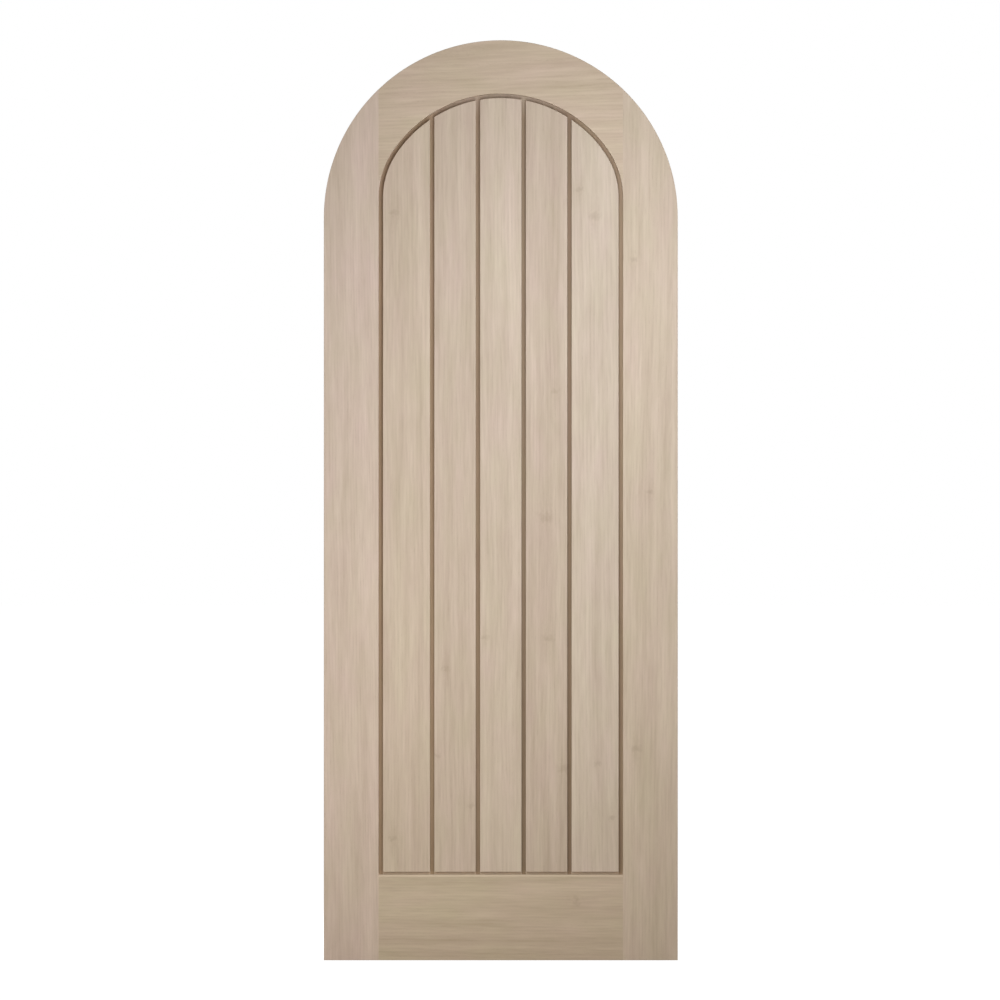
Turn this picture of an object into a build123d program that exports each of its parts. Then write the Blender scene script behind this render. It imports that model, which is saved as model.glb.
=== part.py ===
from build123d import *
import math
import os

# Arched framed-and-boarded door leaf: two stiles and two rails round five tongued boards.
# It stands upright with its bottom edge on Z = 0, X across its width and Y through its thickness.
# The Z axis runs up its middle, and its front face looks along -Y.

# Leaf
DOOR_WIDTH = 762.0
DOOR_HEIGHT = 1981.0
DOOR_THICKNESS = 44.0
ARRIS = 1.2

# Frame members
STILE_WIDTH = 118.0
TOP_RAIL_DEPTH = 115.0
BOTTOM_RAIL_DEPTH = 184.0
BOTTOM_RAIL_BEVEL = 4.0
SHOULDER_NIB = 4.0

# The panel head is a three-centred arch: its radii as shares of half the opening's width
HAUNCH_RADIUS_SHARE = 0.685
CROWN_RADIUS_SHARE = 1.065

# Plough round the inside of the frame, which holds the boards' tongues
PLOUGH_WIDTH = 14.0
PLOUGH_DEPTH = 12.0

# Boards
BOARD_COUNT = 5
BOARD_PITCH = 98.6
BOARD_SETBACK = 1.5
GROOVE_WIDTH = 9.0
BOTTOM_GROOVE_WIDTH = 6.0
TONGUE_CLEARANCE = 0.2
TONGUE_REACH = 8.0
SEASONAL_GAP = 2.0

# Dowels between the rails and the stiles
TOP_DOWEL_DIAMETER = 10.0
TOP_DOWEL_LENGTH = 60.0
BOTTOM_DOWEL_DIAMETER = 16.0
BOTTOM_DOWEL_LENGTH = 130.0
DOWEL_CLEARANCE = 0.1
DOWEL_END_GAP = 1.5
DOWEL_POINT = 1.0

# Places of the dowels, as shares of the height of the shoulder that they cross
TOP_DOWEL_SHARES = (0.49, 0.615, 0.74)
BOTTOM_DOWEL_SHARES = (0.2, 0.5, 0.8)

# How far a cutting shape runs past what it cuts
OVERRUN = 20.0

# Sizes that follow from the ones above
HALF_WIDTH = DOOR_WIDTH / 2
HEAD_SPRING = DOOR_HEIGHT - HALF_WIDTH
HALF_OPENING = HALF_WIDTH - STILE_WIDTH
HAUNCH_RADIUS = HAUNCH_RADIUS_SHARE * HALF_OPENING
CROWN_RADIUS = CROWN_RADIUS_SHARE * HALF_OPENING
HAUNCH_X = HALF_OPENING - HAUNCH_RADIUS
CROWN_CENTRE = DOOR_HEIGHT - TOP_RAIL_DEPTH - CROWN_RADIUS
PANEL_SPRING = CROWN_CENTRE + math.sqrt((CROWN_RADIUS - HAUNCH_RADIUS) ** 2 - HAUNCH_X**2)
TANGENT_ANGLE = math.atan2(PANEL_SPRING - CROWN_CENTRE, HAUNCH_X)
TONGUE_THICKNESS = PLOUGH_WIDTH - 2 * TONGUE_CLEARANCE
BOARD_THICKNESS = DOOR_THICKNESS - 2 * BOARD_SETBACK
FRAME_TONGUE = PLOUGH_DEPTH - SEASONAL_GAP

# The rail's feather edge is cut off square where the arch has come in by the nib
NIB_HEIGHT = PANEL_SPRING + math.sqrt(HAUNCH_RADIUS**2 - (HAUNCH_RADIUS - SHOULDER_NIB) ** 2)
SHOULDER_TOP = HEAD_SPRING + math.sqrt(HALF_WIDTH**2 - HALF_OPENING**2)


def slab(outline, thickness):
    """An outline drawn in X and Z, given its thickness evenly to both sides of Y = 0."""
    return extrude(Plane.XZ * outline, amount=thickness / 2, both=True)


def rectangle(left, right, low, high):
    """A rectangle drawn in X and Z between its four sides."""
    return Pos((left + right) / 2, (low + high) / 2) * Rectangle(right - left, high - low)


def leaf_outline():
    """The whole leaf: a straight-sided outline under a semicircular head."""
    sides = Polyline(
        (-HALF_WIDTH, HEAD_SPRING), (-HALF_WIDTH, 0), (HALF_WIDTH, 0), (HALF_WIDTH, HEAD_SPRING)
    )
    head = ThreePointArc((HALF_WIDTH, HEAD_SPRING), (0, DOOR_HEIGHT), (-HALF_WIDTH, HEAD_SPRING))
    return make_face(sides + head)


def haunch_point(radius, angle, side):
    """A point on the haunch arc of that radius, on the right (1) or left (-1) side."""
    return (
        side * (HAUNCH_X + radius * math.cos(angle)),
        PANEL_SPRING + radius * math.sin(angle),
    )


def haunch_arc(radius, side):
    """The quick arc from a straight side up to where the crown takes over."""
    start = haunch_point(radius, 0, side)
    middle = haunch_point(radius, TANGENT_ANGLE / 2, side)
    end = haunch_point(radius, TANGENT_ANGLE, side)
    return ThreePointArc(start, middle, end)


def panel_outline(grow, bottom):
    """The opening's outline moved outwards by grow, standing on the height bottom."""
    half = HALF_OPENING + grow
    radius = HAUNCH_RADIUS + grow
    sides = Polyline((-half, PANEL_SPRING), (-half, bottom), (half, bottom), (half, PANEL_SPRING))
    crown = ThreePointArc(
        haunch_point(radius, TANGENT_ANGLE, 1),
        (0, CROWN_CENTRE + CROWN_RADIUS + grow),
        haunch_point(radius, TANGENT_ANGLE, -1),
    )
    return make_face(sides + haunch_arc(radius, 1) + crown + haunch_arc(radius, -1))


def eased(solid):
    """Takes the arris off every edge of the front and back faces."""
    faces = solid.faces().sort_by(Axis.Y)
    return chamfer(faces[0].edges() + faces[-1].edges(), ARRIS)


def glued_frame():
    """Stiles and rails as one ring, eased and ploughed after glueing up."""
    ring = eased(slab(leaf_outline() - panel_outline(0, BOTTOM_RAIL_DEPTH), DOOR_THICKNESS))
    return ring - slab(panel_outline(PLOUGH_DEPTH, BOTTOM_RAIL_DEPTH - PLOUGH_DEPTH), PLOUGH_WIDTH)


def dowel_heights(low, high, shares):
    """Heights of the dowels up a shoulder."""
    return [low + share * (high - low) for share in shares]


TOP_DOWEL_HEIGHTS = dowel_heights(NIB_HEIGHT, SHOULDER_TOP, TOP_DOWEL_SHARES)
BOTTOM_DOWEL_HEIGHTS = dowel_heights(0, BOTTOM_RAIL_DEPTH, BOTTOM_DOWEL_SHARES)


def across_shoulders(shape, heights):
    """Copies of a shape that lies along X, one at each height across both shoulders."""
    return [Pos(side * HALF_OPENING, 0, height) * shape for side in (-1, 1) for height in heights]


def lying_cylinder(diameter, length):
    """A round bar along X, with its middle at the origin."""
    return Rot(0, 90, 0) * Cylinder(diameter / 2, length)


def dowels(diameter, length, heights):
    """Pointed dowels across both shoulders."""
    bar = lying_cylinder(diameter, length)
    dowel = chamfer(bar.edges().filter_by(GeomType.CIRCLE), DOWEL_POINT)
    return across_shoulders(dowel, heights)


def dowel_holes():
    """The holes for every dowel, as bars that pass through the shoulders."""
    sets = (
        (TOP_DOWEL_DIAMETER, TOP_DOWEL_LENGTH, TOP_DOWEL_HEIGHTS),
        (BOTTOM_DOWEL_DIAMETER, BOTTOM_DOWEL_LENGTH, BOTTOM_DOWEL_HEIGHTS),
    )
    bars = []
    for diameter, length, heights in sets:
        bar = lying_cylinder(diameter + 2 * DOWEL_CLEARANCE, length + 2 * DOWEL_END_GAP)
        bars += across_shoulders(bar, heights)
    return bars


def rail_bevels():
    """The wedges that slope the bottom rail's upper edges, front and back, so that they shed water."""
    face = DOOR_THICKNESS / 2
    corner = Polyline(
        (face, BOTTOM_RAIL_DEPTH - BOTTOM_RAIL_BEVEL),
        (face, BOTTOM_RAIL_DEPTH),
        (face - BOTTOM_RAIL_BEVEL, BOTTOM_RAIL_DEPTH),
        close=True,
    )
    back = extrude(Plane.YZ * make_face(corner), amount=HALF_OPENING, both=True)
    return [back, mirror(back, about=Plane.XZ)]


def frame_members():
    """The two stiles and the two rails, parted from the ring along their shoulders."""
    ring = glued_frame()
    for hole in dowel_holes():
        ring -= hole
    depth = DOOR_THICKNESS + OVERRUN
    top = DOOR_HEIGHT + OVERRUN
    stile = rectangle(HALF_OPENING, HALF_WIDTH + OVERRUN, -OVERRUN, top)
    stile += rectangle(HALF_OPENING - 2 * SHOULDER_NIB, HALF_OPENING, PANEL_SPRING, NIB_HEIGHT)
    right = slab(stile, depth)
    top_rail = slab(rectangle(-HALF_OPENING, HALF_OPENING, NIB_HEIGHT, top), depth)
    bottom_rail = slab(
        rectangle(-HALF_OPENING, HALF_OPENING, -OVERRUN, BOTTOM_RAIL_DEPTH + OVERRUN), depth
    )
    return {
        "left_stile": ring & mirror(right, about=Plane.YZ),
        "right_stile": ring & right,
        "arched_top_rail": ring & top_rail,
        "bottom_rail": (ring & bottom_rail) - rail_bevels(),
    }


def groove_line(index):
    """Middle of the groove on the left of a board, with the boards counted from zero."""
    return (index - BOARD_COUNT / 2) * BOARD_PITCH


def board(index):
    """One board: an eased field, a tongue all round and, but for the first, a groove on its left."""
    first = index == 0
    last = index == BOARD_COUNT - 1
    left = -HALF_OPENING if first else groove_line(index) + GROOVE_WIDTH / 2
    right = HALF_OPENING if last else groove_line(index + 1) - GROOVE_WIDTH / 2
    field = panel_outline(-GROOVE_WIDTH, BOTTOM_RAIL_DEPTH + BOTTOM_GROOVE_WIDTH)
    field &= rectangle(left, right, 0, DOOR_HEIGHT)
    tongue_left = -HALF_WIDTH if first else left
    tongue_right = HALF_WIDTH if last else right + GROOVE_WIDTH + TONGUE_REACH
    tongue = panel_outline(FRAME_TONGUE, BOTTOM_RAIL_DEPTH - PLOUGH_DEPTH)
    tongue &= rectangle(tongue_left, tongue_right, 0, DOOR_HEIGHT)
    plank = eased(slab(field, BOARD_THICKNESS)) + slab(tongue, TONGUE_THICKNESS)
    if first:
        return plank
    # The groove has room to spare inside the field only: beyond it the end tongues of neighbours meet,
    # so that no light comes through
    tongue_end = left + TONGUE_REACH
    groove = rectangle(left - OVERRUN, tongue_end, 0, DOOR_HEIGHT)
    groove += field & rectangle(left, tongue_end + SEASONAL_GAP, 0, DOOR_HEIGHT)
    return plank - slab(groove, PLOUGH_WIDTH)


def door():
    """Every piece of the leaf by name."""
    pieces = frame_members()
    for index in range(BOARD_COUNT):
        pieces[f"board_{index + 1}"] = board(index)
    pieces["top_rail_dowels"] = Compound(
        children=dowels(TOP_DOWEL_DIAMETER, TOP_DOWEL_LENGTH, TOP_DOWEL_HEIGHTS)
    )
    pieces["bottom_rail_dowels"] = Compound(
        children=dowels(BOTTOM_DOWEL_DIAMETER, BOTTOM_DOWEL_LENGTH, BOTTOM_DOWEL_HEIGHTS)
    )
    return pieces


os.makedirs("parts", exist_ok=True)
for name, piece in door().items():
    export_step(piece, f"parts/{name}.step")
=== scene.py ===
import math
from typing import NamedTuple

import bmesh
import bpy
from bpy.props import FloatProperty, FloatVectorProperty, PointerProperty
from bpy.types import Operator, Panel, PropertyGroup
from mathutils import Matrix, Vector


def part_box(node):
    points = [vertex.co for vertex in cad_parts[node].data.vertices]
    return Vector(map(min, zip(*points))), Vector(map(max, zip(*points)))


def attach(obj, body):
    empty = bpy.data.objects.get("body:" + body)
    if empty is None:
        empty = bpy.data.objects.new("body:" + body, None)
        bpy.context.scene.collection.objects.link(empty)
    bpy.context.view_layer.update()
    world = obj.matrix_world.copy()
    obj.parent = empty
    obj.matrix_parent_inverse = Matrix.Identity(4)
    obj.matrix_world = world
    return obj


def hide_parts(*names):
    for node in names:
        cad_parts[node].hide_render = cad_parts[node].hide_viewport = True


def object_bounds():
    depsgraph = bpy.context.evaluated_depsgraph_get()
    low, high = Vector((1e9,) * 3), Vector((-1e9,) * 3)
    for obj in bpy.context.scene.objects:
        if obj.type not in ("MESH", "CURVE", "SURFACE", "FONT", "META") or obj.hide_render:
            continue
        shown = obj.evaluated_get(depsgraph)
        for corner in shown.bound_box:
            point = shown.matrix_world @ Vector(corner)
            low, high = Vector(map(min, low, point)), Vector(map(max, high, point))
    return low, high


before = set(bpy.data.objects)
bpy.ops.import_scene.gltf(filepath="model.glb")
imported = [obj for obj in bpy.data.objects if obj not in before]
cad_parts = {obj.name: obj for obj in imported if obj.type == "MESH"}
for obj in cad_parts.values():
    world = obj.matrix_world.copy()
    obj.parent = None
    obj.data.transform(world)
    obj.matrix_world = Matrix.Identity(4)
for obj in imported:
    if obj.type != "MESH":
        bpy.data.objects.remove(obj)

bl_info = {
    "name": "Arched oak door",
    "version": (1, 0, 0),
    "blender": (4, 5, 0),
    "location": "3D View > Sidebar > Door",
    "description": "Models an arched, boarded oak door leaf with its finish, light and camera",
    "category": "Add Mesh",
}

# Sizes read from the CAD frame, in metres
CAD_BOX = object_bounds()
HALF_WIDTH = CAD_BOX[1].x
HALF_THICKNESS = CAD_BOX[1].y
LEAF_HEIGHT = CAD_BOX[1].z
HALF_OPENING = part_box("bottom_rail")[1].x
BOTTOM_RAIL_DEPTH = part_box("bottom_rail")[1].z
NIB_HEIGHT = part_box("arched_top_rail")[0].z
HALF_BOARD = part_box("board_1")[1].y
PLOUGH_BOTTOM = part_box("board_1")[0].z
PLOUGH_DEPTH = BOTTOM_RAIL_DEPTH - PLOUGH_BOTTOM
BOARDS = sorted(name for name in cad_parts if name.startswith("board_"))
DOWELS = sorted(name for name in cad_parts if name.endswith("_dowels"))

# The panel's three-centred head, as in the CAD
TOP_RAIL_DEPTH = 0.115
HAUNCH_RADIUS_SHARE = 0.685
CROWN_RADIUS_SHARE = 1.065
HAUNCH_RADIUS = HAUNCH_RADIUS_SHARE * HALF_OPENING
CROWN_RADIUS = CROWN_RADIUS_SHARE * HALF_OPENING
HAUNCH_X = HALF_OPENING - HAUNCH_RADIUS
CROWN_HEIGHT = LEAF_HEIGHT - TOP_RAIL_DEPTH
CROWN_CENTRE = CROWN_HEIGHT - CROWN_RADIUS
PANEL_SPRING = CROWN_CENTRE + math.sqrt((CROWN_RADIUS - HAUNCH_RADIUS) ** 2 - HAUNCH_X**2)
TANGENT_ANGLE = math.atan2(PANEL_SPRING - CROWN_CENTRE, HAUNCH_X)

# Where the leaf's semicircular head springs
HEAD_SPRING = LEAF_HEIGHT - HALF_WIDTH

# Meshing: the turn of one step of an arc, the flattest edge that stays sharp, the steps round an arris,
# the sides of a hole, a length that counts as none, and how far a cutting shape runs past what it cuts
ARC_STEP = math.radians(1.5)
SHARP_ANGLE = math.radians(8)
ARRIS_STEPS = 3
HOLE_SIDES = 32
TINY = 0.00002
OVERRUN = 0.02

# The photograph's frame, in its own pixels
IMAGE_PIXELS = 1000
LEAF_LEFT_PIXEL = 323.4
LEAF_RIGHT_PIXEL = 678.2
LEAF_TOP_PIXEL = 41.3
LEAF_BOTTOM_PIXEL = 959.2


class Cut(NamedTuple):
    """How a piece was cut from its log."""

    # Colour against the common oak colour
    tone_shares: tuple
    # The log's heart, across and through the leaf, from the middle of the piece
    heart: tuple
    # Where the piece lay among the logs, so that no two pieces have the same grain
    place: tuple
    # How far the grain wanders sideways
    wander: float
    # How many degrees the grain leans from the length of the piece
    lean: float
    # Colour of the painted shade in its grooves against the common painted shade
    stain_share: float = 1.0


CUTS = {
    "left_stile": Cut((1.055, 1.04, 1.075), (-0.21, 0.16), (1.3, 2.1, 0.4), 0.004, 0.8),
    "right_stile": Cut((1.02, 1.02, 1.01), (0.16, 0.19), (4.7, 0.6, 7.9), 0.006, -0.4),
    "arched_top_rail": Cut((0.985, 0.965, 0.92), (0.15, 0.20), (8.3, 1.7, 5.5), 0.004, 2.0),
    "bottom_rail": Cut((0.945, 0.935, 0.875), (-0.18, 0.17), (2.9, 9.4, 5.2), 0.005, -0.4),
    "board_1": Cut((0.985, 0.975, 0.965), (0.17, 0.20), (6.1, 5.5, 3.8), 0.003, 0.3, 1.06),
    "board_2": Cut((0.955, 0.945, 0.945), (-0.14, 0.22), (0.9, 7.3, 9.6), 0.004, 0.2, 0.97),
    "board_3": Cut((0.98, 0.98, 0.985), (-0.11, 0.14), (5.3, 4.1, 8.7), 0.007, 0.5, 0.84),
    "board_4": Cut((0.935, 0.92, 0.925), (0.12, 0.16), (7.6, 8.8, 6.3), 0.006, -0.3, 0.87),
    "board_5": Cut((1.015, 1.03, 1.045), (0.15, 0.24), (3.4, 1.2, 2.5), 0.004, 0.4),
}

# Pin knots in each piece: how far across and up the leaf, and half their length
PIN_KNOTS = {
    "right_stile": ((0.285, 1.509, 0.006), (0.291, 0.456, 0.008), (0.321, 1.008, 0.006)),
    "bottom_rail": ((0.162, 0.128, 0.008),),
    "board_1": ((-0.229, 1.610, 0.008), (-0.232, 0.262, 0.007)),
    "board_2": ((-0.118, 0.628, 0.007), (-0.137, 0.441, 0.006), (-0.064, 0.333, 0.006)),
    "board_3": ((-0.034, 0.695, 0.006),),
    "board_4": (
        (0.097, 0.952, 0.013),
        (0.102, 0.693, 0.009),
        (0.136, 0.413, 0.010),
        (0.117, 1.224, 0.006),
    ),
    "board_5": (
        (0.203, 1.602, 0.009),
        (0.171, 1.660, 0.006),
        (0.207, 0.423, 0.006),
        (0.241, 0.307, 0.006),
    ),
}

# The oak's figure: how often each pattern repeats in a metre across, through and along the grain
WANDER_PER_METRE = (4.0, 4.0, 1.5)
DRIFT_PER_METRE = (22.0, 22.0, 8.0)
BROAD_PER_METRE = (30.0, 30.0, 1.8)
STREAK_PER_METRE = (62.0, 62.0, 3.0)
FIBRE_PER_METRE = (230.0, 230.0, 15.0)
PORE_PER_METRE = (2400.0, 2400.0, 140.0)

# How many finer octaves lie on a noise, and on that of the streaks, which are plainer
NOISE_OCTAVES = 2
STREAK_OCTAVES = 0.3

# What is kept of a vector: its parts across the grain, plain, or twice over for the swing of a noise
ACROSS = (1, 1, 0)
TWICE_ACROSS = (2, 2, 0)

# How much each pattern counts in the oak's tone
BROAD_SHARE = 0.55
STREAK_SHARE = 0.56
FIBRE_SHARE = 0.66
RING_SHARE = 0.07
PORE_SHARE = 0.15

# Growth rings: their width, how many years they stray, and the shares of a year in which its early wood
# fades and the next year's begins
RING_WIDTH = 0.0046
RING_STRAY = 1.6
EARLY_END_SHARE = 0.45
NEXT_EARLY_SHARE = 0.85
EARLY_MEAN_SHARE = (EARLY_END_SHARE + 1 - NEXT_EARLY_SHARE) / 2

# Pores: the levels of their noise where one begins and is fully open, the share of them in late wood,
# their roughness, and how high the fibres stand against their depth
PORE_EDGE = 0.58
PORE_OPEN = 0.68
LATE_PORE_SHARE = 0.3
PORE_ROUGHNESS = 0.9
FIBRE_HEIGHT_SHARE = 0.5

# The middle of a noise or a tone
MIDDLE = 0.5

# Against the colour of the piece, the darkest and palest oak, and the straw and rosy tints between
# which it drifts
DEEP_SHARES = (0.78, 0.75, 0.71)
PALE_SHARES = (1.14, 1.15, 1.16)
STRAW_SHARES = (0.965, 1.012, 0.94)
ROSY_SHARES = (1.035, 0.988, 1.06)

# A pin knot and the shadow along the grain above and below it: how many times longer than wide they
# are, how many times longer than the knot the shadow is, where they fade away, as shares of their
# length, and how dark they are
KNOT_SLIMNESS = 0.9
SHADOW_SLIMNESS = 6.0
SHADOW_LENGTH = 5.0
FADE_START_SHARE = 0.1
FADE_END_SHARE = 1.8
KNOT_DARKNESS = 0.30
SHADOW_DARKNESS = 0.12

# A knot's ragged edge: how often it goes in and out in a metre, and how far, as a share of its length
RAGGED_PER_METRE = (150.0, 150.0, 110.0)
RAGGED_SHARE = 2.4

# The painted shade in the grooves: how deep under the boards' faces it starts and is full, how far it
# keeps from the leaf's outer edge, how far under the opening's crown it begins to thin, and its share
# at the crown
PAINTED_SHADE_START = 0.001
PAINTED_SHADE_FULL = 0.004
PAINTED_SHADE_MARGIN = 0.035
CROWN_REACH = 0.06
CROWN_SHADE_SHARE = 0.45

# Painted light, as paler oak: the blur of its ends, and how much of it shows in the bottom groove,
# lifting its shade, and on the bottom rail's slope, as a painted highlight
PAINTED_LIGHT_BLUR = 0.0005
GROOVE_LIGHT_SHARE = 0.8
SLOPE_HIGHLIGHT_SHARE = 0.25

# The dowels' flecks: how often they repeat in a metre along, through and across them, and their dark
# against the pale
FLECK_PER_METRE = (60.0, 900.0, 900.0)
FLECK_SHARE = 0.8


class DoorSizes(PropertyGroup):
    """Sizes of the joinery."""

    arris: FloatProperty(
        name="Arris", description="Rounding of the edges that show", default=0.0012, unit="LENGTH"
    )
    rail_bevel: FloatProperty(
        name="Rail bevel",
        description="Slope on the bottom rail's upper edges",
        default=0.004,
        unit="LENGTH",
    )
    groove_width: FloatProperty(
        name="Groove width",
        description="Gap between boards and round the panel",
        default=0.009,
        unit="LENGTH",
    )
    bottom_groove_width: FloatProperty(
        name="Bottom groove width", description="Gap over the bottom rail", default=0.006, unit="LENGTH"
    )
    plough_width: FloatProperty(
        name="Plough width",
        description="Width of the slot that holds the tongues",
        default=0.014,
        unit="LENGTH",
    )
    tongue_clearance: FloatProperty(
        name="Tongue clearance",
        description="Play on each face of a tongue",
        default=0.0002,
        unit="LENGTH",
    )
    tongue_reach: FloatProperty(
        name="Tongue reach",
        description="How far a tongue enters the next board",
        default=0.008,
        unit="LENGTH",
    )
    seasonal_gap: FloatProperty(
        name="Seasonal gap", description="Room for a board to swell", default=0.002, unit="LENGTH"
    )
    dowel_clearance: FloatProperty(
        name="Dowel clearance", description="Play round a dowel", default=0.0001, unit="LENGTH"
    )
    dowel_end_gap: FloatProperty(
        name="Dowel end gap",
        description="Room for glue at the end of a dowel",
        default=0.0015,
        unit="LENGTH",
    )


class OakFinish(PropertyGroup):
    """Colours and surface of the wood, with the painted shade and painted light of its grooves."""

    oak: FloatVectorProperty(
        name="Oak",
        description="Common colour of the sanded oak",
        subtype="COLOR",
        default=(0.65, 0.533, 0.432),
    )
    # Painted shade: the oak in the grooves is multiplied by this colour
    stain: FloatVectorProperty(
        name="Painted_shade",
        description="Tint of the oak in the grooves",
        subtype="COLOR",
        default=(0.67, 0.585, 0.485),
    )
    # Painted light: the paler oak put in the bottom groove and on the bottom rail's slope, where light
    # falls
    bare: FloatVectorProperty(
        name="Painted_light",
        description="Oak where the finish is thin",
        subtype="COLOR",
        default=(0.86, 0.71, 0.56),
    )
    knot: FloatVectorProperty(
        name="Knot", description="Colour of a pin knot", subtype="COLOR", default=(0.30, 0.21, 0.14)
    )
    beech: FloatVectorProperty(
        name="Beech", description="Colour of the dowels", subtype="COLOR", default=(0.55, 0.36, 0.20)
    )
    roughness: FloatProperty(
        name="Roughness", description="Roughness of the sanded face", default=0.62, subtype="FACTOR"
    )
    gloss: FloatProperty(
        name="Gloss", description="Strength of the shine", default=0.22, subtype="FACTOR"
    )
    relief: FloatProperty(
        name="Relief", description="Depth of the pores and fibres", default=0.00012, unit="LENGTH"
    )


class DoorStage(PropertyGroup):
    """Light, floor and camera."""

    distance: FloatProperty(
        name="Camera distance",
        description="From the lens to the leaf's front",
        default=12.0,
        unit="LENGTH",
    )
    key_place: FloatVectorProperty(
        name="Key place",
        description="Middle of the key light",
        subtype="TRANSLATION",
        default=(0.19, -1.02, 1.51),
    )
    key_power: FloatProperty(
        name="Key power", description="Power of the key light", default=8.4, unit="POWER"
    )
    low_place: FloatVectorProperty(
        name="Low place",
        description="Middle of the low light",
        subtype="TRANSLATION",
        default=(-0.17, -0.9, 0.54),
    )
    low_power: FloatProperty(
        name="Low power", description="Power of the low light", default=4.0, unit="POWER"
    )
    back_place: FloatVectorProperty(
        name="Back place",
        description="Middle of the back light",
        subtype="TRANSLATION",
        default=(0.0, 1.6, 1.3),
    )
    back_power: FloatProperty(
        name="Back power", description="Power of the back light", default=16.0, unit="POWER"
    )
    side_place: FloatVectorProperty(
        name="Side place",
        description="Middle of the right side light, with a like one on the left",
        subtype="TRANSLATION",
        default=(1.8, 0.5, 1.5),
    )
    side_power: FloatProperty(
        name="Side power", description="Power of each side light", default=10.0, unit="POWER"
    )
    lamp_size: FloatProperty(
        name="Lamp size", description="Side of each square light", default=0.7, unit="LENGTH"
    )
    lamp_colour: FloatVectorProperty(
        name="Lamp colour",
        description="Tint of every square light but the low one",
        subtype="COLOR",
        default=(0.90, 0.95, 1.0),
    )
    low_colour: FloatVectorProperty(
        name="Low colour",
        description="Tint of the low light",
        subtype="COLOR",
        default=(0.93, 0.945, 0.905),
    )
    fill_colour: FloatVectorProperty(
        name="Fill colour",
        description="Tint of the light all round",
        subtype="COLOR",
        default=(1.0, 0.92, 0.80),
    )
    fill_strength: FloatProperty(
        name="Fill strength", description="Strength of the light all round", default=0.37
    )
    floor_size: FloatProperty(
        name="Floor size", description="Half the side of the floor", default=40.0, unit="LENGTH"
    )
    floor_colour: FloatVectorProperty(
        name="Floor colour",
        description="Colour of the floor",
        subtype="COLOR",
        default=(0.42, 0.40, 0.37),
    )
    floor_glow: FloatVectorProperty(
        name="Floor glow",
        description="What lifts the floor to white for the camera",
        subtype="COLOR",
        default=(0.855, 0.87, 0.895),
    )


def verts_in(geometry):
    """The vertices among what an operator gives back."""
    return [item for item in geometry if isinstance(item, bmesh.types.BMVert)]


class Pen:
    """Draws an outline in X and Z, anticlockwise as seen from the front, and gives it thickness."""

    def __init__(self, x, z, half_thickness):
        self.mesh = bmesh.new()
        self.front = -half_thickness
        self.first = bmesh.ops.create_vert(self.mesh, co=(x, self.front, z))["vert"][0]
        self.last = self.first

    def line(self, x, z):
        """Goes straight to a place."""
        self.last = bmesh.ops.extrude_vert_indiv(self.mesh, verts=[self.last])["verts"][0]
        self.last.co = (x, self.front, z)

    def arc(self, x, z, angle):
        """Turns round a centre, anticlockwise where the angle is positive."""
        turned = bmesh.ops.spin(
            self.mesh,
            geom=[self.last],
            cent=(x, self.front, z),
            axis=(0, -1, 0),
            angle=angle,
            steps=max(1, round(abs(angle) / ARC_STEP)),
        )
        self.last = verts_in(turned["geom_last"])[0]

    def solid(self):
        """Closes the outline and extrudes it from the front to the back."""
        bmesh.ops.contextual_create(self.mesh, geom=[self.last, self.first])
        bmesh.ops.contextual_create(self.mesh, geom=self.mesh.edges[:])
        pushed = bmesh.ops.extrude_face_region(self.mesh, geom=self.mesh.faces[:])
        bmesh.ops.translate(self.mesh, verts=verts_in(pushed["geom"]), vec=(0, -2 * self.front, 0))
        bmesh.ops.recalc_face_normals(self.mesh, faces=self.mesh.faces[:])
        return self.mesh


class Stretch(NamedTuple):
    """A stretch of an arc: its centre, its radius, the angle where it begins and how far it turns."""

    x: float
    z: float
    radius: float
    begin: float
    turn: float


def head_arcs(grow):
    """The panel head's arcs, right to left, moved outwards: centre, radius, first and last angle."""
    haunch = HAUNCH_RADIUS + grow
    crown = CROWN_RADIUS + grow
    left_tangent = math.pi - TANGENT_ANGLE
    return (
        (HAUNCH_X, PANEL_SPRING, haunch, 0, TANGENT_ANGLE),
        (0, CROWN_CENTRE, crown, TANGENT_ANGLE, left_tangent),
        (-HAUNCH_X, PANEL_SPRING, haunch, left_tangent, math.pi),
    )


def head_between(grow, left, right):
    """The stretches of those arcs that lie between two upright sides."""
    stretches = []
    for x, z, radius, first, last in head_arcs(grow):
        begin = max(first, math.acos(min(1, max(-1, (right - x) / radius))))
        end = min(last, math.acos(min(1, max(-1, (left - x) / radius))))
        if end > begin:
            stretches.append(Stretch(x, z, radius, begin, end - begin))
    return stretches


def strip_solid(grow, left, right, bottom, half_thickness):
    """An upright strip between two sides, a level bottom and the panel's head moved outwards."""
    stretches = head_between(grow, left, right)
    first = stretches[0]
    pen = Pen(left, bottom, half_thickness)
    pen.line(right, bottom)
    pen.line(right, first.z + first.radius * math.sin(first.begin))
    for stretch in stretches:
        pen.arc(stretch.x, stretch.z, stretch.turn)
    return pen.solid()


def block_solid(left, right, bottom, top, half_thickness):
    """A plain block."""
    pen = Pen(left, bottom, half_thickness)
    pen.line(right, bottom)
    pen.line(right, top)
    pen.line(left, top)
    return pen.solid()


def half_frame():
    """The right half of the frame, between the leaf's semicircular head and the panel's opening."""
    pen = Pen(0, 0, HALF_THICKNESS)
    pen.line(HALF_WIDTH, 0)
    pen.line(HALF_WIDTH, HEAD_SPRING)
    pen.arc(0, HEAD_SPRING, math.pi / 2)
    pen.line(0, CROWN_HEIGHT)
    for stretch in reversed(head_between(0, 0, HALF_OPENING)):
        pen.arc(stretch.x, stretch.z, -stretch.turn)
    pen.line(HALF_OPENING, BOTTOM_RAIL_DEPTH)
    pen.line(0, BOTTOM_RAIL_DEPTH)
    return pen.solid()


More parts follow.
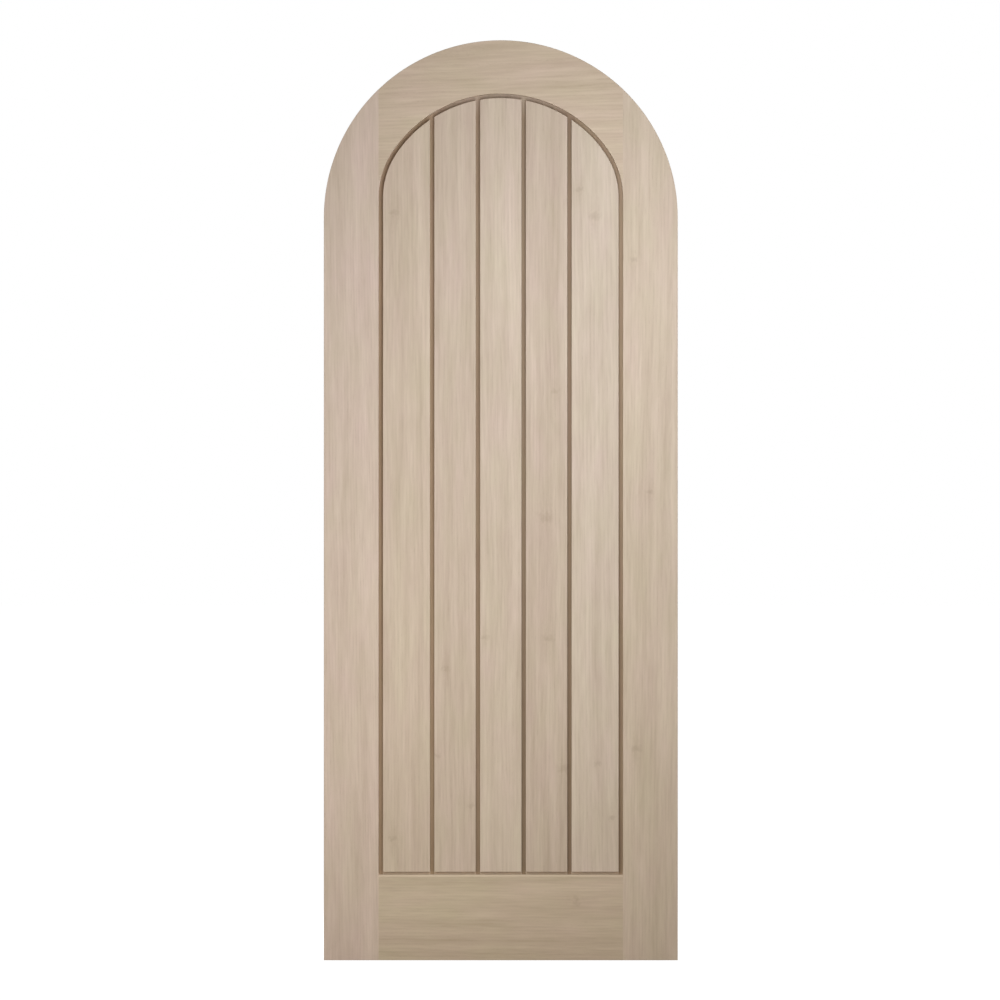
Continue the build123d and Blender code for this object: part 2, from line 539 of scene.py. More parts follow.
def stile_region():
    """Where the right stile lies: outside the shoulders, with room for the nib beside the opening."""
    top = LEAF_HEIGHT + OVERRUN
    outside = HALF_WIDTH + OVERRUN
    inside = HALF_OPENING - OVERRUN
    over_rail = BOTTOM_RAIL_DEPTH + OVERRUN
    pen = Pen(HALF_OPENING, -OVERRUN, HALF_THICKNESS + OVERRUN)
    pen.line(outside, -OVERRUN)
    pen.line(outside, top)
    pen.line(HALF_OPENING, top)
    pen.line(HALF_OPENING, NIB_HEIGHT)
    pen.line(inside, NIB_HEIGHT)
    pen.line(inside, over_rail)
    pen.line(HALF_OPENING, over_rail)
    return pen.solid()


def rail_region(bottom, top):
    """Where a rail lies: between the shoulders, from one height to another."""
    return block_solid(-HALF_OPENING, HALF_OPENING, bottom, top, HALF_THICKNESS + OVERRUN)


def rim(mesh, half_thickness):
    """The edges round the front and back faces, which have both ends on one face."""
    return [
        edge
        for edge in mesh.edges
        if abs(sum(vert.co.y for vert in edge.verts)) > 2 * (half_thickness - TINY)
    ]


def ease(mesh, edges, radius):
    """Rounds some edges."""
    bmesh.ops.bevel(
        mesh, geom=edges, offset=radius, affect="EDGES", segments=ARRIS_STEPS, profile=0.5, material=-1
    )


def mirrored(mesh):
    """The same shape on the other side of the leaf."""
    copy = mesh.copy()
    bmesh.ops.scale(copy, vec=(-1, 1, 1), verts=copy.verts[:])
    bmesh.ops.recalc_face_normals(copy, faces=copy.faces[:])
    return copy


def as_object(name, mesh):
    """A new object in the scene, which takes the mesh over."""
    data = bpy.data.meshes.new(name)
    mesh.to_mesh(data)
    mesh.free()
    made = bpy.data.objects.new(name, data)
    bpy.context.scene.collection.objects.link(made)
    return made


def carve(mesh, tool, operation):
    """Joins a closed shape to a mesh, cuts it away or keeps what both share, and gives the result."""
    body = as_object("carved", mesh)
    shape = as_object("carver", tool)
    change = body.modifiers.new("carve", "BOOLEAN")
    change.operation = operation
    change.solver = "EXACT"
    change.object = shape
    result = bmesh.new()
    result.from_object(body, bpy.context.evaluated_depsgraph_get())
    for spent in (body, shape):
        data = spent.data
        bpy.data.objects.remove(spent)
        bpy.data.meshes.remove(data)
    if not result.faces:
        raise RuntimeError("carving left nothing of a piece")
    return result


def plough(sizes):
    """The slot round the inside of the frame, as a solid to cut with."""
    side = HALF_OPENING + PLOUGH_DEPTH
    return strip_solid(PLOUGH_DEPTH, -side, side, PLOUGH_BOTTOM, sizes.plough_width / 2)


def islands(mesh):
    """The vertices of each separate solid in a mesh."""
    waiting = set(mesh.verts)
    found = []
    while waiting:
        island = [waiting.pop()]
        for vert in island:
            near = {edge.other_vert(vert) for edge in vert.link_edges} & waiting
            waiting -= near
            island.extend(near)
        found.append(island)
    return found


def dowel_holes(sizes):
    """A hole for every dowel of the frame, as solids to cut with."""
    holes = bmesh.new()
    for node in DOWELS:
        dowels = bmesh.new()
        dowels.from_mesh(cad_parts[node].data)
        bmesh.ops.remove_doubles(dowels, verts=dowels.verts[:], dist=TINY)
        for island in islands(dowels):
            low = Vector(min(vert.co[axis] for vert in island) for axis in range(3))
            high = Vector(max(vert.co[axis] for vert in island) for axis in range(3))
            radius = (high.z - low.z) / 2 + sizes.dowel_clearance
            length = high.x - low.x + 2 * sizes.dowel_end_gap
            bore = Matrix.Translation((low + high) / 2) @ Matrix.Rotation(math.pi / 2, 4, "Y")
            bmesh.ops.create_cone(
                holes,
                cap_ends=True,
                segments=HOLE_SIDES,
                radius1=radius,
                radius2=radius,
                depth=length,
                matrix=bore,
            )
        dowels.free()
    return holes


def glued_frame(sizes):
    """Stiles and rails as one ring, eased, ploughed and bored, before it is parted at the shoulders."""
    mesh = half_frame()
    edges = rim(mesh, HALF_THICKNESS)
    ease(mesh, [edge for edge in edges if any(vert.co.x > TINY for vert in edge.verts)], sizes.arris)
    middle = [face for face in mesh.faces if all(abs(vert.co.x) < TINY for vert in face.verts)]
    bmesh.ops.delete(mesh, geom=middle, context="FACES")
    everything = mesh.verts[:] + mesh.edges[:] + mesh.faces[:]
    bmesh.ops.mirror(mesh, geom=everything, matrix=Matrix.Identity(4), merge_dist=TINY, axis="X")
    bmesh.ops.recalc_face_normals(mesh, faces=mesh.faces[:])
    mesh = carve(mesh, plough(sizes), "DIFFERENCE")
    return carve(mesh, dowel_holes(sizes), "DIFFERENCE")


def frame_member(region, sizes):
    """The part of the ring that lies in a region."""
    return carve(glued_frame(sizes), region, "INTERSECT")


def slope_upper_edges(mesh, sizes):
    """Cuts the slope on the bottom rail's upper edges, front and back."""
    for side in (-1, 1):
        cut = bmesh.ops.bisect_plane(
            mesh,
            geom=mesh.verts[:] + mesh.edges[:] + mesh.faces[:],
            plane_co=(0, side * HALF_THICKNESS, BOTTOM_RAIL_DEPTH - sizes.rail_bevel),
            plane_no=(0, side, 1),
            clear_outer=True,
        )
        edges = [item for item in cut["geom_cut"] if isinstance(item, bmesh.types.BMEdge)]
        bmesh.ops.contextual_create(mesh, geom=edges)
    return mesh


def field_sides(index, sizes):
    """The left and right sides of a board's field, which shows between the grooves."""
    left = sizes.groove_width - HALF_OPENING
    right = HALF_OPENING - sizes.groove_width
    if index > 0:
        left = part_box(BOARDS[index])[0].x
    if index < len(BOARDS) - 1:
        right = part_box(BOARDS[index + 1])[0].x - sizes.groove_width
    return left, right


def field_foot(sizes):
    """The height of the boards' fields over the bottom rail."""
    return BOTTOM_RAIL_DEPTH + sizes.bottom_groove_width


def board_solid(index, sizes):
    """A board: an eased field with a tongue round it and, but for the first, a groove on its left."""
    first = index == 0
    last = index == len(BOARDS) - 1
    left, right = field_sides(index, sizes)
    tongue_grow = PLOUGH_DEPTH - sizes.seasonal_gap
    tongue_side = HALF_OPENING + tongue_grow
    tongue_left = -tongue_side if first else left
    tongue_right = tongue_side if last else right + sizes.groove_width + sizes.tongue_reach
    field = strip_solid(-sizes.groove_width, left, right, field_foot(sizes), HALF_BOARD)
    ease(field, rim(field, HALF_BOARD), sizes.arris)
    half_tongue = sizes.plough_width / 2 - sizes.tongue_clearance
    tongue = strip_solid(tongue_grow, tongue_left, tongue_right, PLOUGH_BOTTOM, half_tongue)
    mesh = carve(field, tongue, "UNION")
    if first:
        return mesh
    # The groove has room to spare inside the field only, and stops an arris short of the field's ends:
    # beyond them the end tongues of neighbours meet
    half_groove = sizes.plough_width / 2
    tongue_end = left + sizes.tongue_reach
    groove = block_solid(left - OVERRUN, tongue_end, 0, LEAF_HEIGHT, half_groove)
    mesh = carve(mesh, groove, "DIFFERENCE")
    spare_end = tongue_end + sizes.seasonal_gap
    spare_foot = field_foot(sizes) + sizes.arris
    spare = strip_solid(-sizes.groove_width - sizes.arris, left, spare_end, spare_foot, half_groove)
    return carve(mesh, spare, "DIFFERENCE")


def place(mesh, name, slot):
    """Puts a finished mesh in the scene, in place of its CAD node."""
    piece = as_object(name + "_oak", mesh)
    piece.data.shade_smooth()
    piece.data.set_sharp_from_angle(angle=SHARP_ANGLE)
    piece.data.materials.clear()
    piece.data.materials.append(oak_material(name))
    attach(piece, "root")
    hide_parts(name)


class Wiring:
    """Adds nodes to a node tree and links them."""

    def __init__(self, tree):
        self.tree = tree

    def add(self, kind, **settings):
        """A node with some of its settings."""
        node = self.tree.nodes.new(kind)
        for name, value in settings.items():
            setattr(node, name, value)
        return node

    def feed(self, socket, value):
        """Links a socket to another, or sets it to a value."""
        if isinstance(value, bpy.types.NodeSocket):
            self.tree.links.new(value, socket)
        else:
            socket.default_value = value

    def group(self, tree, **values):
        """A node that holds a group, with its inputs fed by name."""
        node = self.add("ShaderNodeGroup", node_tree=tree)
        for name, value in values.items():
            self.feed(node.inputs[name], value)
        return node.outputs

    def math(self, operation, first, second=0.0):
        """A sum on two values."""
        node = self.add("ShaderNodeMath", operation=operation)
        self.feed(node.inputs[0], first)
        self.feed(node.inputs[1], second)
        return node.outputs[0]

    def multiply_add(self, value, factor, addend):
        """A value times a factor, plus another value."""
        node = self.add("ShaderNodeMath", operation="MULTIPLY_ADD")
        for socket, number in zip(node.inputs, (value, factor, addend)):
            self.feed(socket, number)
        return node.outputs[0]

    def vector_math(self, operation, first, second):
        """A sum on two vectors, which gives a vector."""
        node = self.add("ShaderNodeVectorMath", operation=operation)
        self.feed(node.inputs[0], first)
        self.feed(node.inputs[1], second)
        return node.outputs["Vector"]

    def length(self, vector):
        """The length of a vector."""
        node = self.add("ShaderNodeVectorMath", operation="LENGTH")
        self.feed(node.inputs[0], vector)
        return node.outputs["Value"]

    def split(self, vector):
        """The X, Y and Z of a vector."""
        node = self.add("ShaderNodeSeparateXYZ")
        self.feed(node.inputs["Vector"], vector)
        return node.outputs

    def ramp(self, value, low, high, to_low, to_high):
        """A smooth change between two values, while the given one goes from low to high."""
        node = self.add("ShaderNodeMapRange", interpolation_type="SMOOTHSTEP")
        for socket, number in zip(node.inputs, (value, low, high, to_low, to_high)):
            self.feed(socket, number)
        return node.outputs["Result"]

    def noise(self, vector, per_metre, octaves=NOISE_OCTAVES):
        """Noise that goes up and down so often in a metre along each axis, with finer octaves on it."""
        node = self.add("ShaderNodeTexNoise")
        self.feed(node.inputs["Vector"], self.vector_math("MULTIPLY", vector, per_metre))
        self.feed(node.inputs["Scale"], 1)
        self.feed(node.inputs["Detail"], octaves)
        return node.outputs

    def stray(self, vector, per_metre, reach):
        """A vector that a noise swings to all sides, by half the reach at most."""
        bent = self.noise(vector, per_metre)["Color"]
        node = self.add("ShaderNodeVectorMath", operation="SCALE")
        self.feed(node.inputs["Vector"], self.vector_math("SUBTRACT", bent, (MIDDLE, MIDDLE, MIDDLE)))
        self.feed(node.inputs["Scale"], reach)
        return node.outputs["Vector"]

    def mix(self, factor, first, second, blend="MIX"):
        """A mix of two colours."""
        node = self.add("ShaderNodeMix", data_type="RGBA", blend_type=blend)
        shown = {socket.name: socket for socket in node.inputs if socket.enabled}
        self.feed(shown["Factor"], factor)
        self.feed(shown["A"], first)
        self.feed(shown["B"], second)
        return next(socket for socket in node.outputs if socket.enabled)


def new_group(name, inputs, outputs):
    """An empty node group with named sockets: its wiring, what comes in and what goes out."""
    tree = bpy.data.node_groups.new(name, "ShaderNodeTree")
    for label, kind in inputs.items():
        tree.interface.new_socket(label, in_out="INPUT", socket_type="NodeSocket" + kind)
    for label, kind in outputs.items():
        tree.interface.new_socket(label, in_out="OUTPUT", socket_type="NodeSocket" + kind)
    wiring = Wiring(tree)
    return wiring, wiring.add("NodeGroupInput").outputs, wiring.add("NodeGroupOutput").inputs


def made_once(build):
    """A function that gives the node group of build's name, which build makes the first time."""

    def group():
        name = build.__name__
        if name not in bpy.data.node_groups:
            build(name)
        return bpy.data.node_groups[name]

    return group


@made_once
def sanded_oak(name):
    """The group for sanded oak, with its grain along Z: rings, streaks, fibres and pores."""
    wiring, given, out = new_group(
        name,
        {
            "Vector": "Vector",
            "Colour": "Color",
            "Heart": "Vector",
            "Place": "Vector",
            "Wander": "Float",
        },
        {"Colour": "Color", "Pores": "Float", "Height": "Float"},
    )
    there = wiring.vector_math("ADD", given["Vector"], given["Place"])
    bend = wiring.stray(there, WANDER_PER_METRE, given["Wander"])
    shift = wiring.vector_math("MULTIPLY", bend, TWICE_ACROSS)
    grain = wiring.vector_math("ADD", there, shift)
    own = wiring.vector_math("ADD", given["Vector"], shift)

    # Streaks and fibres along the grain
    broad = wiring.noise(grain, BROAD_PER_METRE)["Fac"]
    streaks = wiring.noise(grain, STREAK_PER_METRE, STREAK_OCTAVES)["Fac"]
    fibres = wiring.noise(grain, FIBRE_PER_METRE)["Fac"]

    # Growth rings: dark open wood at the start of each year, paler and denser after it
    from_heart = wiring.vector_math("SUBTRACT", own, given["Heart"])
    across = wiring.length(wiring.vector_math("MULTIPLY", from_heart, ACROSS))
    years = wiring.multiply_add(broad, RING_STRAY, wiring.math("DIVIDE", across, RING_WIDTH))
    season = wiring.math("FRACT", years)
    fading = wiring.ramp(season, 0, EARLY_END_SHARE, 1, 0)
    early = wiring.math("ADD", fading, wiring.ramp(season, NEXT_EARLY_SHARE, 1, 0, 1))

    # Open pores, most of them in the early wood
    specks = wiring.noise(grain, PORE_PER_METRE)["Fac"]
    crowd = wiring.multiply_add(early, 1 - LATE_PORE_SHARE, LATE_PORE_SHARE)
    pores = wiring.math("MULTIPLY", wiring.ramp(specks, PORE_EDGE, PORE_OPEN, 0, 1), crowd)

    # The tone swings about its middle with every pattern: the pattern, its share and its own middle
    patterns = (
        (broad, BROAD_SHARE, MIDDLE),
        (streaks, STREAK_SHARE, MIDDLE),
        (fibres, FIBRE_SHARE, MIDDLE),
        (early, -RING_SHARE, EARLY_MEAN_SHARE),
        (pores, -PORE_SHARE, 0),
    )
    tone = MIDDLE - sum(share * middle for pattern, share, middle in patterns)
    for pattern, share, middle in patterns:
        tone = wiring.multiply_add(pattern, share, tone)
    drift = wiring.noise(grain, DRIFT_PER_METRE)["Fac"]
    tint = wiring.mix(drift, (*STRAW_SHARES, 1), (*ROSY_SHARES, 1))
    tinted = wiring.mix(1, given["Colour"], tint, "MULTIPLY")
    deep = wiring.mix(1, tinted, (*DEEP_SHARES, 1), "MULTIPLY")
    pale = wiring.mix(1, tinted, (*PALE_SHARES, 1), "MULTIPLY")
    wiring.feed(out["Colour"], wiring.mix(tone, deep, pale))
    wiring.feed(out["Pores"], pores)
    raised = wiring.math("MULTIPLY", fibres, FIBRE_HEIGHT_SHARE)
    wiring.feed(out["Height"], wiring.math("SUBTRACT", raised, pores))


@made_once
def pin_knot(name):
    """The group for one small knot in a face, with a faint shadow of it along the grain."""
    wiring, given, out = new_group(
        name,
        {
            "Vector": "Vector",
            "Colour": "Color",
            "Knot": "Color",
            "Place": "Vector",
            "Length": "Float",
        },
        {"Colour": "Color"},
    )
    reach = wiring.math("MULTIPLY", given["Length"], RAGGED_SHARE)
    ragged = wiring.stray(given["Vector"], RAGGED_PER_METRE, reach)
    from_place = wiring.vector_math("SUBTRACT", given["Vector"], given["Place"])
    from_knot = wiring.vector_math("ADD", from_place, ragged)
    marks = (
        (KNOT_SLIMNESS, 1, KNOT_DARKNESS),
        (SHADOW_SLIMNESS / SHADOW_LENGTH, 1 / SHADOW_LENGTH, SHADOW_DARKNESS),
    )
    amount = 0
    for across, along, darkness in marks:
        away = wiring.length(wiring.vector_math("MULTIPLY", from_knot, (across, 0, along)))
        share = wiring.math("DIVIDE", away, given["Length"])
        mark = wiring.ramp(share, FADE_START_SHARE, FADE_END_SHARE, darkness, 0)
        amount = wiring.math("MAXIMUM", amount, mark)
    wiring.feed(out["Colour"], wiring.mix(amount, given["Colour"], given["Knot"]))


@made_once
def groove_stain(name):
    """The group that paints shade into the oak in the upright and arched grooves, on top of the shade
    that their depth gives.
    """
    wiring, given, out = new_group(
        name,
        {
            "Vector": "Vector",
            "Colour": "Color",
            "Painted_shade": "Color",
            "Left": "Float",
            "Right": "Float",
            "Groove": "Float",
            "Foot": "Float",
        },
        {"Colour": "Color", "Painted_shade_amount": "Float"},
    )
    parts = wiring.split(given["Vector"])
    depth = wiring.math("ABSOLUTE", parts["Y"])
    # Painted shade, growing with the depth under the boards' faces
    deep = wiring.ramp(depth, HALF_BOARD - PAINTED_SHADE_FULL, HALF_BOARD - PAINTED_SHADE_START, 1, 0)

    # Away from the leaf's outer edge, by the distance from its middle line below the head's springing
    # and from the head's centre above it
    over_spring = wiring.math("SUBTRACT", parts["Z"], HEAD_SPRING)
    offset = wiring.add("ShaderNodeCombineXYZ")
    wiring.feed(offset.inputs["X"], parts["X"])
    wiring.feed(offset.inputs["Z"], wiring.math("MAXIMUM", over_spring, 0))
    away = wiring.length(offset.outputs["Vector"])
    inside = wiring.ramp(away, HALF_WIDTH - 2 * PAINTED_SHADE_MARGIN, HALF_WIDTH - PAINTED_SHADE_MARGIN, 1, 0)

    # The painted shade is lighter towards the crown
    thinning = CROWN_HEIGHT - CROWN_REACH
    lasting = wiring.ramp(parts["Z"], thinning, CROWN_HEIGHT, 1, CROWN_SHADE_SHARE)

    # Not in the bottom groove, under the field's foot, except where an upright groove meets it
    beyond_left = wiring.math("SUBTRACT", given["Left"], parts["X"])
    beyond_right = wiring.math("SUBTRACT", parts["X"], given["Right"])
    clear = wiring.math("SUBTRACT", parts["Z"], given["Foot"])
    for beyond in (beyond_left, beyond_right):
        upright = wiring.math("MINIMUM", beyond, wiring.math("SUBTRACT", given["Groove"], beyond))
        clear = wiring.math("MAXIMUM", clear, upright)
    off_groove = wiring.ramp(clear, -PAINTED_SHADE_START, PAINTED_SHADE_START, 0, 1)
    amount = deep
    for mask in (inside, lasting, off_groove):
        amount = wiring.math("MULTIPLY", amount, mask)
    wiring.feed(out["Colour"], wiring.mix(amount, given["Colour"], given["Painted_shade"], "MULTIPLY"))
    wiring.feed(out["Painted_shade_amount"], amount)


@made_once
def thin_finish(name):
    """The group that paints light as paler oak between two heights, where no painted shade is."""
    wiring, given, out = new_group(
        name,
        {
            "Vector": "Vector",
            "Colour": "Color",
            "Painted_light": "Color",
            "Painted_shade_amount": "Float",
            "Low": "Float",
            "High": "Float",
            "Share": "Float",
        },
        {"Colour": "Color"},
    )
    height = wiring.split(given["Vector"])["Z"]
    over_low = wiring.math("SUBTRACT", height, given["Low"])
    under_high = wiring.math("SUBTRACT", given["High"], height)
    between = wiring.ramp(wiring.math("MINIMUM", over_low, under_high), -PAINTED_LIGHT_BLUR, PAINTED_LIGHT_BLUR, 0, 1)
    unshaded = wiring.math("MULTIPLY", between, wiring.math("SUBTRACT", 1, given["Painted_shade_amount"]))
    amount = wiring.math("MULTIPLY", unshaded, given["Share"])
    wiring.feed(out["Colour"], wiring.mix(amount, given["Colour"], given["Painted_light"]))


def groove_finish(wiring, name, placed, colour):
    """The colour of a piece with painted shade in its grooves, and painted light at the bottom groove
    and on the bottom rail's slope.
    """
    finish = bpy.context.scene.oak_finish
    sizes = bpy.context.scene.door_sizes
    left, right = -HALF_WIDTH, HALF_WIDTH
    light_low, light_share = BOTTOM_RAIL_DEPTH - sizes.rail_bevel, SLOPE_HIGHLIGHT_SHARE
    if name in BOARDS:
        left, right = field_sides(BOARDS.index(name), sizes)
        light_low, light_share = 0, GROOVE_LIGHT_SHARE
    # The painted shade, darker or lighter for each piece
    stain = [channel * CUTS[name].stain_share for channel in finish.stain]
    with_painted_shade = wiring.group(
        groove_stain(),
        Vector=placed,
        Colour=colour,
        Painted_shade=(*stain, 1),
        Left=left,
        Right=right,
        Groove=sizes.groove_width,
        Foot=field_foot(sizes),
    )
    if name not in BOARDS and name != "bottom_rail":
        return with_painted_shade["Colour"]
    # Painted light: paler oak in the bottom groove and on the bottom rail's slope
    lifted = wiring.group(
        thin_finish(),
        Vector=placed,
        Colour=with_painted_shade["Colour"],
        Painted_light=(*finish.bare, 1),
        Painted_shade_amount=with_painted_shade["Painted_shade_amount"],
        Low=light_low,
        High=field_foot(sizes),
        Share=light_share,
    )
    return lifted["Colour"]


def oak_material(name):
    """The oak of one piece, with its own tone, grain and knots, and painted shade and light in its
    grooves.
    """
    finish = bpy.context.scene.oak_finish
    cut = CUTS[name]
    material = bpy.data.materials.new(name + "_finish")
    material.use_nodes = True
    wiring = Wiring(material.node_tree)
    shader = material.node_tree.nodes["Principled BSDF"]
    placed = wiring.add("ShaderNodeTexCoord").outputs["Object"]

    # The pattern is centred on the piece, with its upright axis turned along the grain
    low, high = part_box(name)
    lying = math.pi / 2 if name.endswith("rail") else 0
    turn = Matrix.Rotation(lying + math.radians(cut.lean), 3, "Y")
    middle = turn @ ((low + high) / 2)
    mapping = wiring.add("ShaderNodeMapping")
    wiring.feed(mapping.inputs["Vector"], placed)
    wiring.feed(mapping.inputs["Rotation"], turn.to_euler())
    wiring.feed(mapping.inputs["Location"], -middle)
    position = mapping.outputs["Vector"]
    tone = [channel * share for channel, share in zip(finish.oak, cut.tone_shares)]
    oak = wiring.group(
        sanded_oak(),
        Vector=position,
        Colour=(*tone, 1),
        Heart=(*cut.heart, 0),
        Place=cut.place,
        Wander=cut.wander,
    )
    colour = oak["Colour"]
    for across, up, length in PIN_KNOTS.get(name, ()):
        spot = turn @ Vector((across, 0, up)) - middle
        knot = wiring.group(
            pin_knot(),
            Vector=position,
            Colour=colour,
            Knot=(*finish.knot, 1),
            Place=spot,
            Length=length,
        )
        colour = knot["Colour"]
    bump = wiring.add("ShaderNodeBump")
    wiring.feed(bump.inputs["Distance"], finish.relief)
    wiring.feed(bump.inputs["Height"], oak["Height"])
    roughness = wiring.ramp(oak["Pores"], 0, 1, finish.roughness, PORE_ROUGHNESS)
    wiring.feed(shader.inputs["Base Color"], groove_finish(wiring, name, placed, colour))
    wiring.feed(shader.inputs["Normal"], bump.outputs["Normal"])
    wiring.feed(shader.inputs["Roughness"], roughness)
    shader.inputs["Specular IOR Level"].default_value = finish.gloss
    return material


def beech_material():
    """Turned beech with short flecks along X."""
    finish = bpy.context.scene.oak_finish
    material = bpy.data.materials.new("dowel_finish")
    material.use_nodes = True
    wiring = Wiring(material.node_tree)
    shader = material.node_tree.nodes["Principled BSDF"]
    position = wiring.add("ShaderNodeTexCoord").outputs["Object"]
    fleck = wiring.noise(position, FLECK_PER_METRE)["Fac"]
    dark = [channel * FLECK_SHARE for channel in finish.beech]
    wiring.feed(shader.inputs["Base Color"], wiring.mix(fleck, (*dark, 1), (*finish.beech, 1)))
    shader.inputs["Roughness"].default_value = finish.roughness
    shader.inputs["Specular IOR Level"].default_value = finish.gloss
    return material


class DOOR_OT_stiles(Operator):
    """Model the two stiles"""

    bl_idname = "door.stiles"
    bl_label = "Stiles"

    def execute(self, context):
        sizes = context.scene.door_sizes
        right = stile_region()
        left = mirrored(right)
        place(frame_member(left, sizes), "left_stile", "stile_oak")
        place(frame_member(right, sizes), "right_stile", "stile_oak")
        return {"FINISHED"}


class DOOR_OT_top_rail(Operator):
    """Model the arched top rail"""

    bl_idname = "door.top_rail"
    bl_label = "Top rail"

    def execute(self, context):
        region = rail_region(NIB_HEIGHT, LEAF_HEIGHT + OVERRUN)
        place(frame_member(region, context.scene.door_sizes), "arched_top_rail", "rail_oak")
        return {"FINISHED"}


class DOOR_OT_bottom_rail(Operator):
    """Model the bottom rail"""

    bl_idname = "door.bottom_rail"
    bl_label = "Bottom rail"

    def execute(self, context):
        sizes = context.scene.door_sizes
        rail = frame_member(rail_region(-OVERRUN, BOTTOM_RAIL_DEPTH), sizes)
        place(slope_upper_edges(rail, sizes), "bottom_rail", "rail_oak")
        return {"FINISHED"}


class DOOR_OT_boards(Operator):
    """Model the tongued boards"""

    bl_idname = "door.boards"
    bl_label = "Boards"

    def execute(self, context):
        for index, name in enumerate(BOARDS):
            place(board_solid(index, context.scene.door_sizes), name, "board_oak")
        return {"FINISHED"}


class DOOR_OT_dowels(Operator):
    """Give the dowels their beech"""

    bl_idname = "door.dowels"
    bl_label = "Dowels"

    def execute(self, context):
        beech = beech_material()
        for name in DOWELS:
            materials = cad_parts[name].data.materials
            materials.clear()
            materials.append(beech)
        return {"FINISHED"}


def area_light(name, spot, power, colour, turn, stage):
    """Adds a square soft light that shines along +Y, turned about the upright axis."""
    data = bpy.data.lights.new(name, "AREA")
    data.shape = "SQUARE"
    data.size = stage.lamp_size
    data.energy = power
    data.color = colour
    light = bpy.data.objects.new(name, data)
    light.location = spot
    light.rotation_euler = (math.pi / 2, 0, turn)
    bpy.context.scene.collection.objects.link(light)


def shown_rays(wiring):
    """One for rays that show a surface to the camera, straight or by reflection."""
    seen = wiring.add("ShaderNodeLightPath").outputs
    mirrors = wiring.math("MAXIMUM", seen["Is Glossy Ray"], seen["Is Transmission Ray"])
    return wiring.math("MAXIMUM", seen["Is Camera Ray"], mirrors)


def floor_material(stage):
    """A pale floor that the camera sees as white, with the door's shadow on it."""
    material = bpy.data.materials.new("floor_finish")
    material.use_nodes = True
    material.node_tree.nodes.clear()
    wiring = Wiring(material.node_tree)
    matt = wiring.add("ShaderNodeBsdfDiffuse")
    wiring.feed(matt.inputs["Color"], (*stage.floor_colour, 1))
    glow = wiring.add("ShaderNodeEmission")
    wiring.feed(glow.inputs["Color"], (*stage.floor_glow, 1))
    wiring.feed(glow.inputs["Strength"], shown_rays(wiring))
    both = wiring.add("ShaderNodeAddShader")
    wiring.feed(both.inputs[0], matt.outputs["BSDF"])
    wiring.feed(both.inputs[1], glow.outputs["Emission"])
    wiring.feed(wiring.add("ShaderNodeOutputMaterial").inputs["Surface"], both.outputs["Shader"])
    return material


def light_world(stage):
    """White behind the door, and a soft warm light all round it."""
    world = bpy.data.worlds.new("studio")
    world.use_nodes = True
    world.node_tree.nodes.clear()
    wiring = Wiring(world.node_tree)
    fill = wiring.add("ShaderNodeBackground")
    wiring.feed(fill.inputs["Color"], (*stage.fill_colour, 1))
    wiring.feed(fill.inputs["Strength"], stage.fill_strength)
    white = wiring.add("ShaderNodeBackground")
    wiring.feed(white.inputs["Color"], (1, 1, 1, 1))
    wiring.feed(white.inputs["Strength"], 1.0)
    choice = wiring.add("ShaderNodeMixShader")
    wiring.feed(choice.inputs["Fac"], shown_rays(wiring))
    wiring.feed(choice.inputs[1], fill.outputs["Background"])
    wiring.feed(choice.inputs[2], white.outputs["Background"])
    wiring.feed(wiring.add("ShaderNodeOutputWorld").inputs["Surface"], choice.outputs["Shader"])
    return world


def front_camera(stage):
    """A long lens square to the front, framed as the photograph is."""
    across = 2 * HALF_WIDTH / (LEAF_RIGHT_PIXEL - LEAF_LEFT_PIXEL)
    up = LEAF_HEIGHT / (LEAF_BOTTOM_PIXEL - LEAF_TOP_PIXEL)
    pixel = (across + up) / 2
    middle = IMAGE_PIXELS / 2
    data = bpy.data.cameras.new("front_camera")
    data.lens = data.sensor_width * stage.distance / (pixel * IMAGE_PIXELS)
    camera = bpy.data.objects.new("front_camera", data)
    camera.location = (
        (middle - (LEAF_LEFT_PIXEL + LEAF_RIGHT_PIXEL) / 2) * pixel,
        -HALF_THICKNESS - stage.distance,
        LEAF_HEIGHT / 2 + ((LEAF_TOP_PIXEL + LEAF_BOTTOM_PIXEL) / 2 - middle) * pixel,
    )
    camera.rotation_euler = (math.pi / 2, 0, 0)
    bpy.context.scene.collection.objects.link(camera)
    return camera


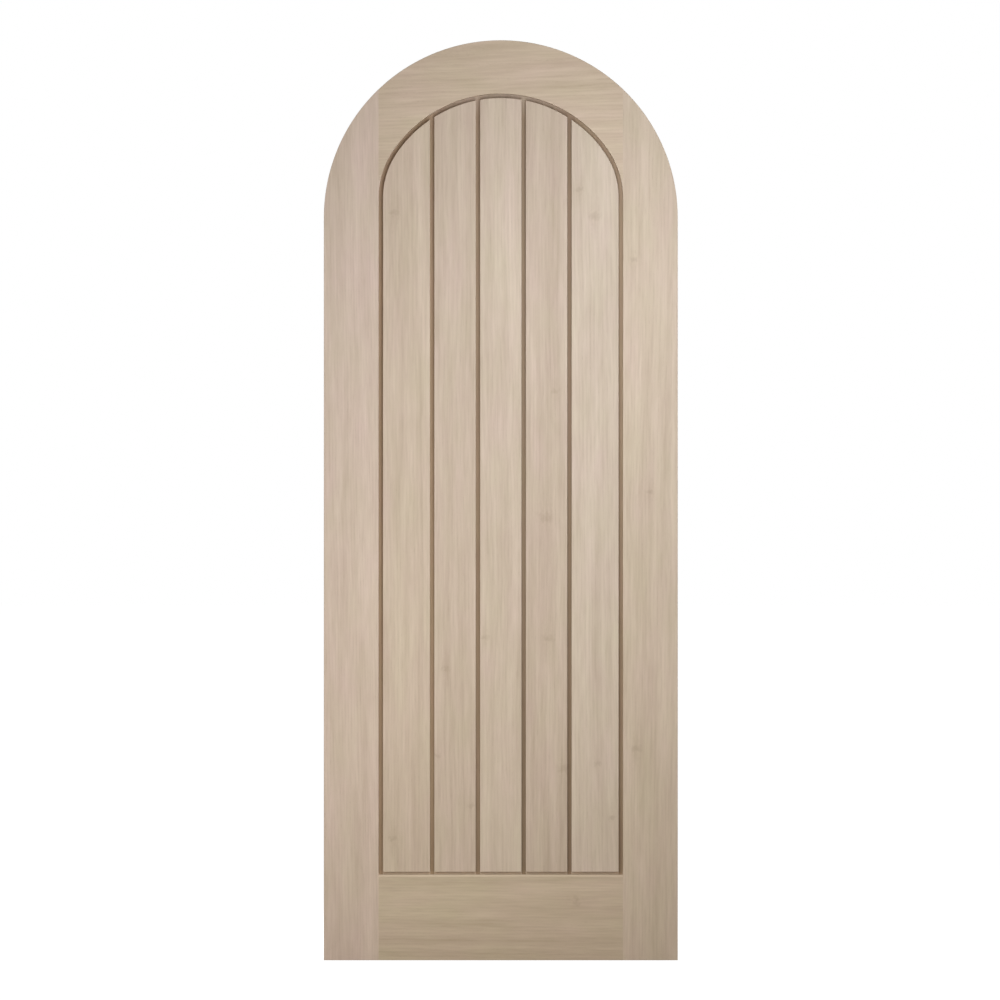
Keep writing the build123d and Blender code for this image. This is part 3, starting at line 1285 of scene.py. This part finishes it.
class DOOR_OT_stage(Operator):
    """Set the floor, the light and the camera"""

    bl_idname = "door.stage"
    bl_label = "Stage"

    def execute(self, context):
        scene = context.scene
        stage = scene.door_stage
        ground = bmesh.new()
        bmesh.ops.create_grid(ground, x_segments=1, y_segments=1, size=stage.floor_size)
        floor = as_object("floor", ground)
        floor.data.materials.append(floor_material(stage))
        area_light("key_light", stage.key_place, stage.key_power, stage.lamp_colour, 0, stage)
        area_light("low_light", stage.low_place, stage.low_power, stage.low_colour, 0, stage)
        area_light("back_light", stage.back_place, stage.back_power, stage.lamp_colour, math.pi, stage)
        for name, side in (("right_light", 1), ("left_light", -1)):
            spot = Vector(stage.side_place) * Vector((side, 1, 1))
            area_light(name, spot, stage.side_power, stage.lamp_colour, side * math.pi / 2, stage)
        scene.world = light_world(stage)
        scene.camera = front_camera(stage)
        scene.view_settings.view_transform = "Standard"
        return {"FINISHED"}


class DOOR_PT_panel(Panel):
    """Lists the steps and the values of the door"""

    bl_idname = "DOOR_PT_panel"
    bl_label = "Arched oak door"
    bl_space_type = "VIEW_3D"
    bl_region_type = "UI"
    bl_category = "Door"

    def draw(self, context):
        layout = self.layout
        for operator in OPERATORS:
            layout.operator(operator.bl_idname)
        for group in (context.scene.door_sizes, context.scene.oak_finish, context.scene.door_stage):
            box = layout.box()
            for name in group.__annotations__:
                box.prop(group, name)


OPERATORS = (
    DOOR_OT_stiles,
    DOOR_OT_top_rail,
    DOOR_OT_bottom_rail,
    DOOR_OT_boards,
    DOOR_OT_dowels,
    DOOR_OT_stage,
)
CLASSES = (DoorSizes, OakFinish, DoorStage, *OPERATORS, DOOR_PT_panel)


def register():
    """Makes the door's classes and values known."""
    for made in CLASSES:
        bpy.utils.register_class(made)
    bpy.types.Scene.door_sizes = PointerProperty(type=DoorSizes)
    bpy.types.Scene.oak_finish = PointerProperty(type=OakFinish)
    bpy.types.Scene.door_stage = PointerProperty(type=DoorStage)


def unregister():
    """Takes the door's classes and values away."""
    del bpy.types.Scene.door_stage
    del bpy.types.Scene.oak_finish
    del bpy.types.Scene.door_sizes
    for made in reversed(CLASSES):
        bpy.utils.unregister_class(made)


def main():
    """Builds the whole scene in order."""
    register()
    bpy.ops.door.stiles()
    bpy.ops.door.top_rail()
    bpy.ops.door.bottom_rail()
    bpy.ops.door.boards()
    bpy.ops.door.dowels()
    bpy.ops.door.stage()


if __name__ == "__main__":
    main()
